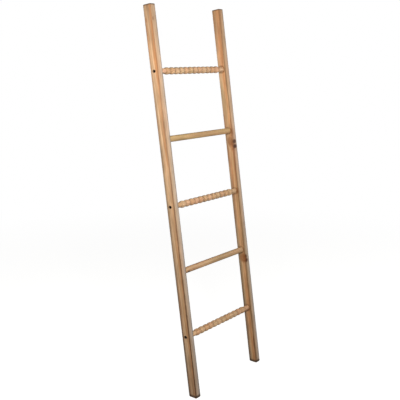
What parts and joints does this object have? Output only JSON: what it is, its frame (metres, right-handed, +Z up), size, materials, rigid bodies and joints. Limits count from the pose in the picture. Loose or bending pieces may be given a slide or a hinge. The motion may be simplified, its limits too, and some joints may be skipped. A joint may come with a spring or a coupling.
{
  "type": "blanket ladder",
  "caption": "Leaning wooden ladder for hanging blankets, with square stiles, bead-turned rungs held by recessed bolts, and plain dowel rungs between them.",
  "frame": {"origin": "on the floor, midway between the two feet, on the line where the stiles' centre planes meet the floor", "axes": "+X along the rungs to the right as seen from the front, -Y the front that faces the room, +Y towards the wall that the ladder leans on, +Z up"},
  "size_m": [0.45, 0.2526, 1.5106],
  "materials": {
    "stile_pine": "satin clear lacquer over honey stain",
    "rung_pine": "satin clear lacquer over honey stain",
    "black_steel": "black oxide, slightly oily",
    "insert_brass": "as turned"
  },
  "bodies": {
    "root": {"left_stile": "stile_pine", "right_stile": "stile_pine", "bottom_beaded_rung": "rung_pine", "lower_dowel_rung": "rung_pine", "middle_beaded_rung": "rung_pine", "upper_dowel_rung": "rung_pine", "top_beaded_rung": "rung_pine", "bottom_left_bolt": "black_steel", "bottom_left_insert": "insert_brass", "bottom_right_bolt": "black_steel", "bottom_right_insert": "insert_brass", "middle_left_bolt": "black_steel", "middle_left_insert": "insert_brass", "middle_right_bolt": "black_steel", "middle_right_insert": "insert_brass", "top_left_bolt": "black_steel", "top_left_insert": "insert_brass", "top_right_bolt": "black_steel", "top_right_insert": "insert_brass"}
  },
  "joints": []
}
